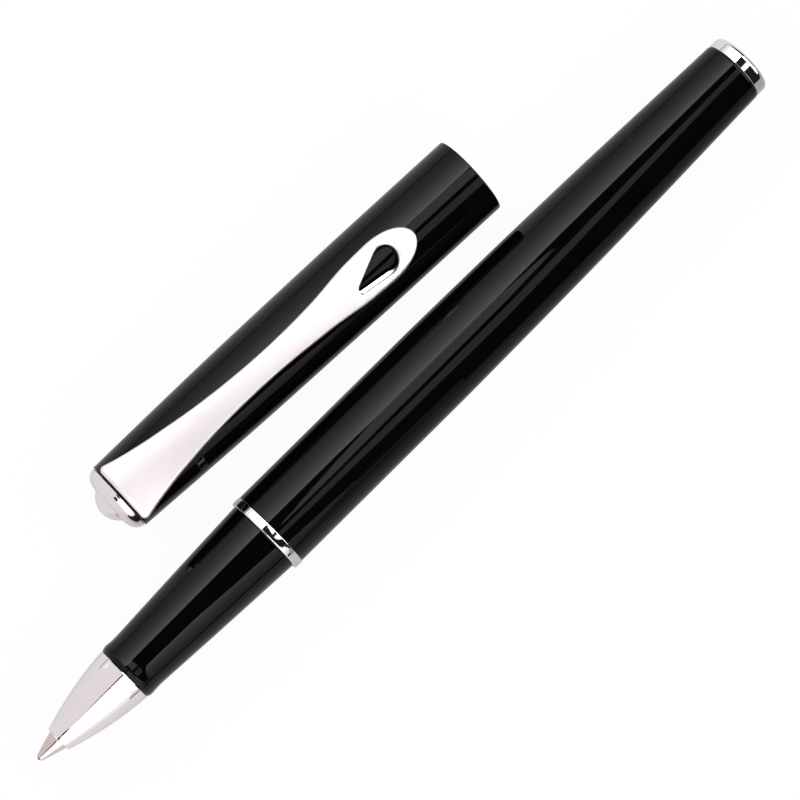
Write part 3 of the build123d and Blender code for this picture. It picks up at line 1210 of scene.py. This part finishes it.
FRONT_PANEL_LEVEL = 0.80
PANEL_COLOUR = (1, 0.985, 0.99, 1)
LEAST_GLOW = 0.2


def light_panel(name, stations, level, fade):
    """A glowing panel that the camera doesn't see."""
    centre = PEN.translation
    across = 24
    along = len(stations) - 1
    bm = bmesh.new()
    bmesh.ops.create_grid(bm, x_segments=along, y_segments=across, size=0.5)
    for vert in bm.verts:
        x, start, end = stations[round((vert.co.x + 0.5) * along)]
        angle = math.radians(start + (end - start) * (vert.co.y + 0.5))
        vert.co = (x, -PANEL_R * math.sin(angle), PANEL_R * math.cos(angle))
    upper = min(abs(angle) for station in stations for angle in station[1:])
    place = Matrix.Translation((0, centre.y, centre.z))
    hide_from_camera(finished(name, bm, place, glow(name, level, fade, upper)))


def front_panel():
    """A plain round panel that closes the far end towards the tip."""
    bm = bmesh.new()
    place = Matrix.Translation((FRONT_PANEL_X, 0, 0)) @ Matrix.Rotation(math.pi / 2, 4, "Y")
    bmesh.ops.create_circle(bm, cap_ends=True, segments=48, radius=PANEL_R, matrix=place)
    look = glow("front_panel", FRONT_PANEL_LEVEL)
    hide_from_camera(finished("front_panel", bm, Matrix.Identity(4), look))


def hide_from_camera(panel):
    """Leaves a panel seen only in reflections and by the light that it gives."""
    panel.visible_camera = False
    panel.visible_shadow = False


def glow(name, level, fade=0, edge=0):
    """An even glow, or one that falls off with the angle from the panel's upper edge."""
    centre = PEN.translation
    material = bpy.data.materials.new(name)
    material.use_nodes = True
    tree = material.node_tree
    tree.nodes.remove(tree.nodes["Principled BSDF"])
    strength = level
    if fade:
        coords = node(tree, "ShaderNodeTexCoord").outputs["Object"]
        parts = node(tree, "ShaderNodeSeparateXYZ", {0: coords})
        across = math_node(tree, "SUBTRACT", centre.y, parts.outputs["Y"])
        upward = math_node(tree, "SUBTRACT", parts.outputs["Z"], centre.z)
        angle = math_node(tree, "ABSOLUTE", math_node(tree, "ARCTAN2", across, upward))
        past = math_node(tree, "SUBTRACT", angle, math.radians(edge))
        falling = math_node(tree, "EXPONENT", math_node(tree, "DIVIDE", past, -math.radians(fade)))
        strength = math_node(tree, "ADD", math_node(tree, "MULTIPLY", falling, level), LEAST_GLOW)
    light = node(tree, "ShaderNodeEmission", {"Strength": strength, "Color": PANEL_COLOUR})
    tree.links.new(light.outputs[0], tree.nodes["Material Output"].inputs["Surface"])
    return material


def floor(light):
    """A plain pale floor with a faint shadow close under the object, darker in reflections than it is seen.

    What is mirrored of it also darkens towards the rear end on the side away from the cap.
    """
    bm = bmesh.new()
    bmesh.ops.create_grid(bm, x_segments=1, y_segments=1, size=3.0)
    material = bpy.data.materials.new("floor")
    material.use_nodes = True
    tree = material.node_tree
    tree.nodes.remove(tree.nodes["Principled BSDF"])
    seen = node(tree, "ShaderNodeLightPath").outputs["Is Camera Ray"]
    open_sky = node(tree, "ShaderNodeAmbientOcclusion", {"Distance": 0.012}, samples=8).outputs["AO"]
    to_camera = math_node(tree, "MULTIPLY", between(tree, open_sky, 0.95, 1.0), light.floor_seen)
    coords = node(tree, "ShaderNodeTexCoord").outputs["Object"]
    place = node(tree, "ShaderNodeSeparateXYZ", {0: coords}).outputs
    back = node(tree, "ShaderNodeMapRange", {"Value": place["X"], "From Min": -0.055, "From Max": 0.01})
    side = node(tree, "ShaderNodeMapRange", {"Value": place["Y"], "From Min": -0.006, "From Max": -0.02})
    corner = math_node(tree, "MULTIPLY", back.outputs[0], side.outputs[0])
    falling = between(tree, corner, 1.0, 0.5)
    open_level = between(tree, open_sky, 0.25, light.floor_mirrored)
    mirrored = math_node(tree, "MULTIPLY", open_level, falling)
    level = node(tree, "ShaderNodeMix", {"Factor": seen}, data_type="FLOAT")
    tree.links.new(mirrored, level.inputs[2])
    tree.links.new(to_camera, level.inputs[3])
    glowing = node(tree, "ShaderNodeEmission", {"Strength": level.outputs[0]})
    tree.links.new(glowing.outputs[0], tree.nodes["Material Output"].inputs["Surface"])
    finished("floor", bm, Matrix.Identity(4), material)


def surroundings(scene):
    """A dark room in reflections, and plain white behind everything."""
    world = bpy.data.worlds.new("room")
    world.use_nodes = True
    tree = world.node_tree
    seen = node(tree, "ShaderNodeLightPath").outputs["Is Camera Ray"]
    dark, white = (0.014, 0.013, 0.013), (1.0, 1.0, 1.0)
    tree.links.new(mixed(tree, seen, dark, white), tree.nodes["Background"].inputs["Color"])
    scene.world = world


def camera(scene, light):
    """The camera, nearly straight above, turned so that the pen runs from lower left to upper right."""
    tilt = math.radians(5.56)
    turn = math.radians(44.72)
    target = PEN.translation + Vector((0.06021, 0.0001, 0))
    towards = Vector((-math.sin(tilt), 0, math.cos(tilt)))
    flat = (Vector((1, 0, 0)) - towards * towards.x).normalized()
    side = towards.cross(flat)
    right = flat * math.cos(turn) - side * math.sin(turn)
    up = flat * math.sin(turn) + side * math.cos(turn)
    lens = bpy.data.cameras.new("camera")
    lens.lens = light.lens
    lens.sensor_width = 36.0
    lens.clip_start = 0.01
    made = bpy.data.objects.new("camera", lens)
    axes = Matrix((right, up, towards)).transposed().to_4x4()
    made.matrix_world = Matrix.Translation(target + towards * light.camera_distance) @ axes
    scene.collection.objects.link(made)
    scene.camera = made


# ---- panel and registration ----
STEPS = [PEN_OT_stage, PEN_OT_barrel, PEN_OT_section, PEN_OT_refill, PEN_OT_cap, PEN_OT_clip, PEN_OT_inner]


class PEN_PT_build(bpy.types.Panel):
    """The pen's build steps and settings"""

    bl_label = "Rollerball pen"
    bl_idname = "PEN_PT_build"
    bl_space_type = "VIEW_3D"
    bl_region_type = "UI"
    bl_category = "Pen"

    def draw(self, context):
        for step in STEPS:
            self.layout.operator(step.bl_idname)
        for settings in (context.scene.pen_looks, context.scene.pen_sizes, context.scene.pen_light):
            for name in settings.__annotations__:
                self.layout.prop(settings, name)


CLASSES = [PenLooks, PenSizes, StageLight, *STEPS, PEN_PT_build]


def register():
    for cls in CLASSES:
        bpy.utils.register_class(cls)
    bpy.types.Scene.pen_looks = bpy.props.PointerProperty(type=PenLooks)
    bpy.types.Scene.pen_sizes = bpy.props.PointerProperty(type=PenSizes)
    bpy.types.Scene.pen_light = bpy.props.PointerProperty(type=StageLight)


def unregister():
    del bpy.types.Scene.pen_light
    del bpy.types.Scene.pen_sizes
    del bpy.types.Scene.pen_looks
    for cls in reversed(CLASSES):
        bpy.utils.unregister_class(cls)


def main():
    register()
    bpy.ops.pen.stage()
    bpy.ops.pen.barrel()
    bpy.ops.pen.section()
    bpy.ops.pen.refill()
    bpy.ops.pen.cap()
    bpy.ops.pen.clip()
    bpy.ops.pen.inner()


if __name__ == "__main__":
    main()
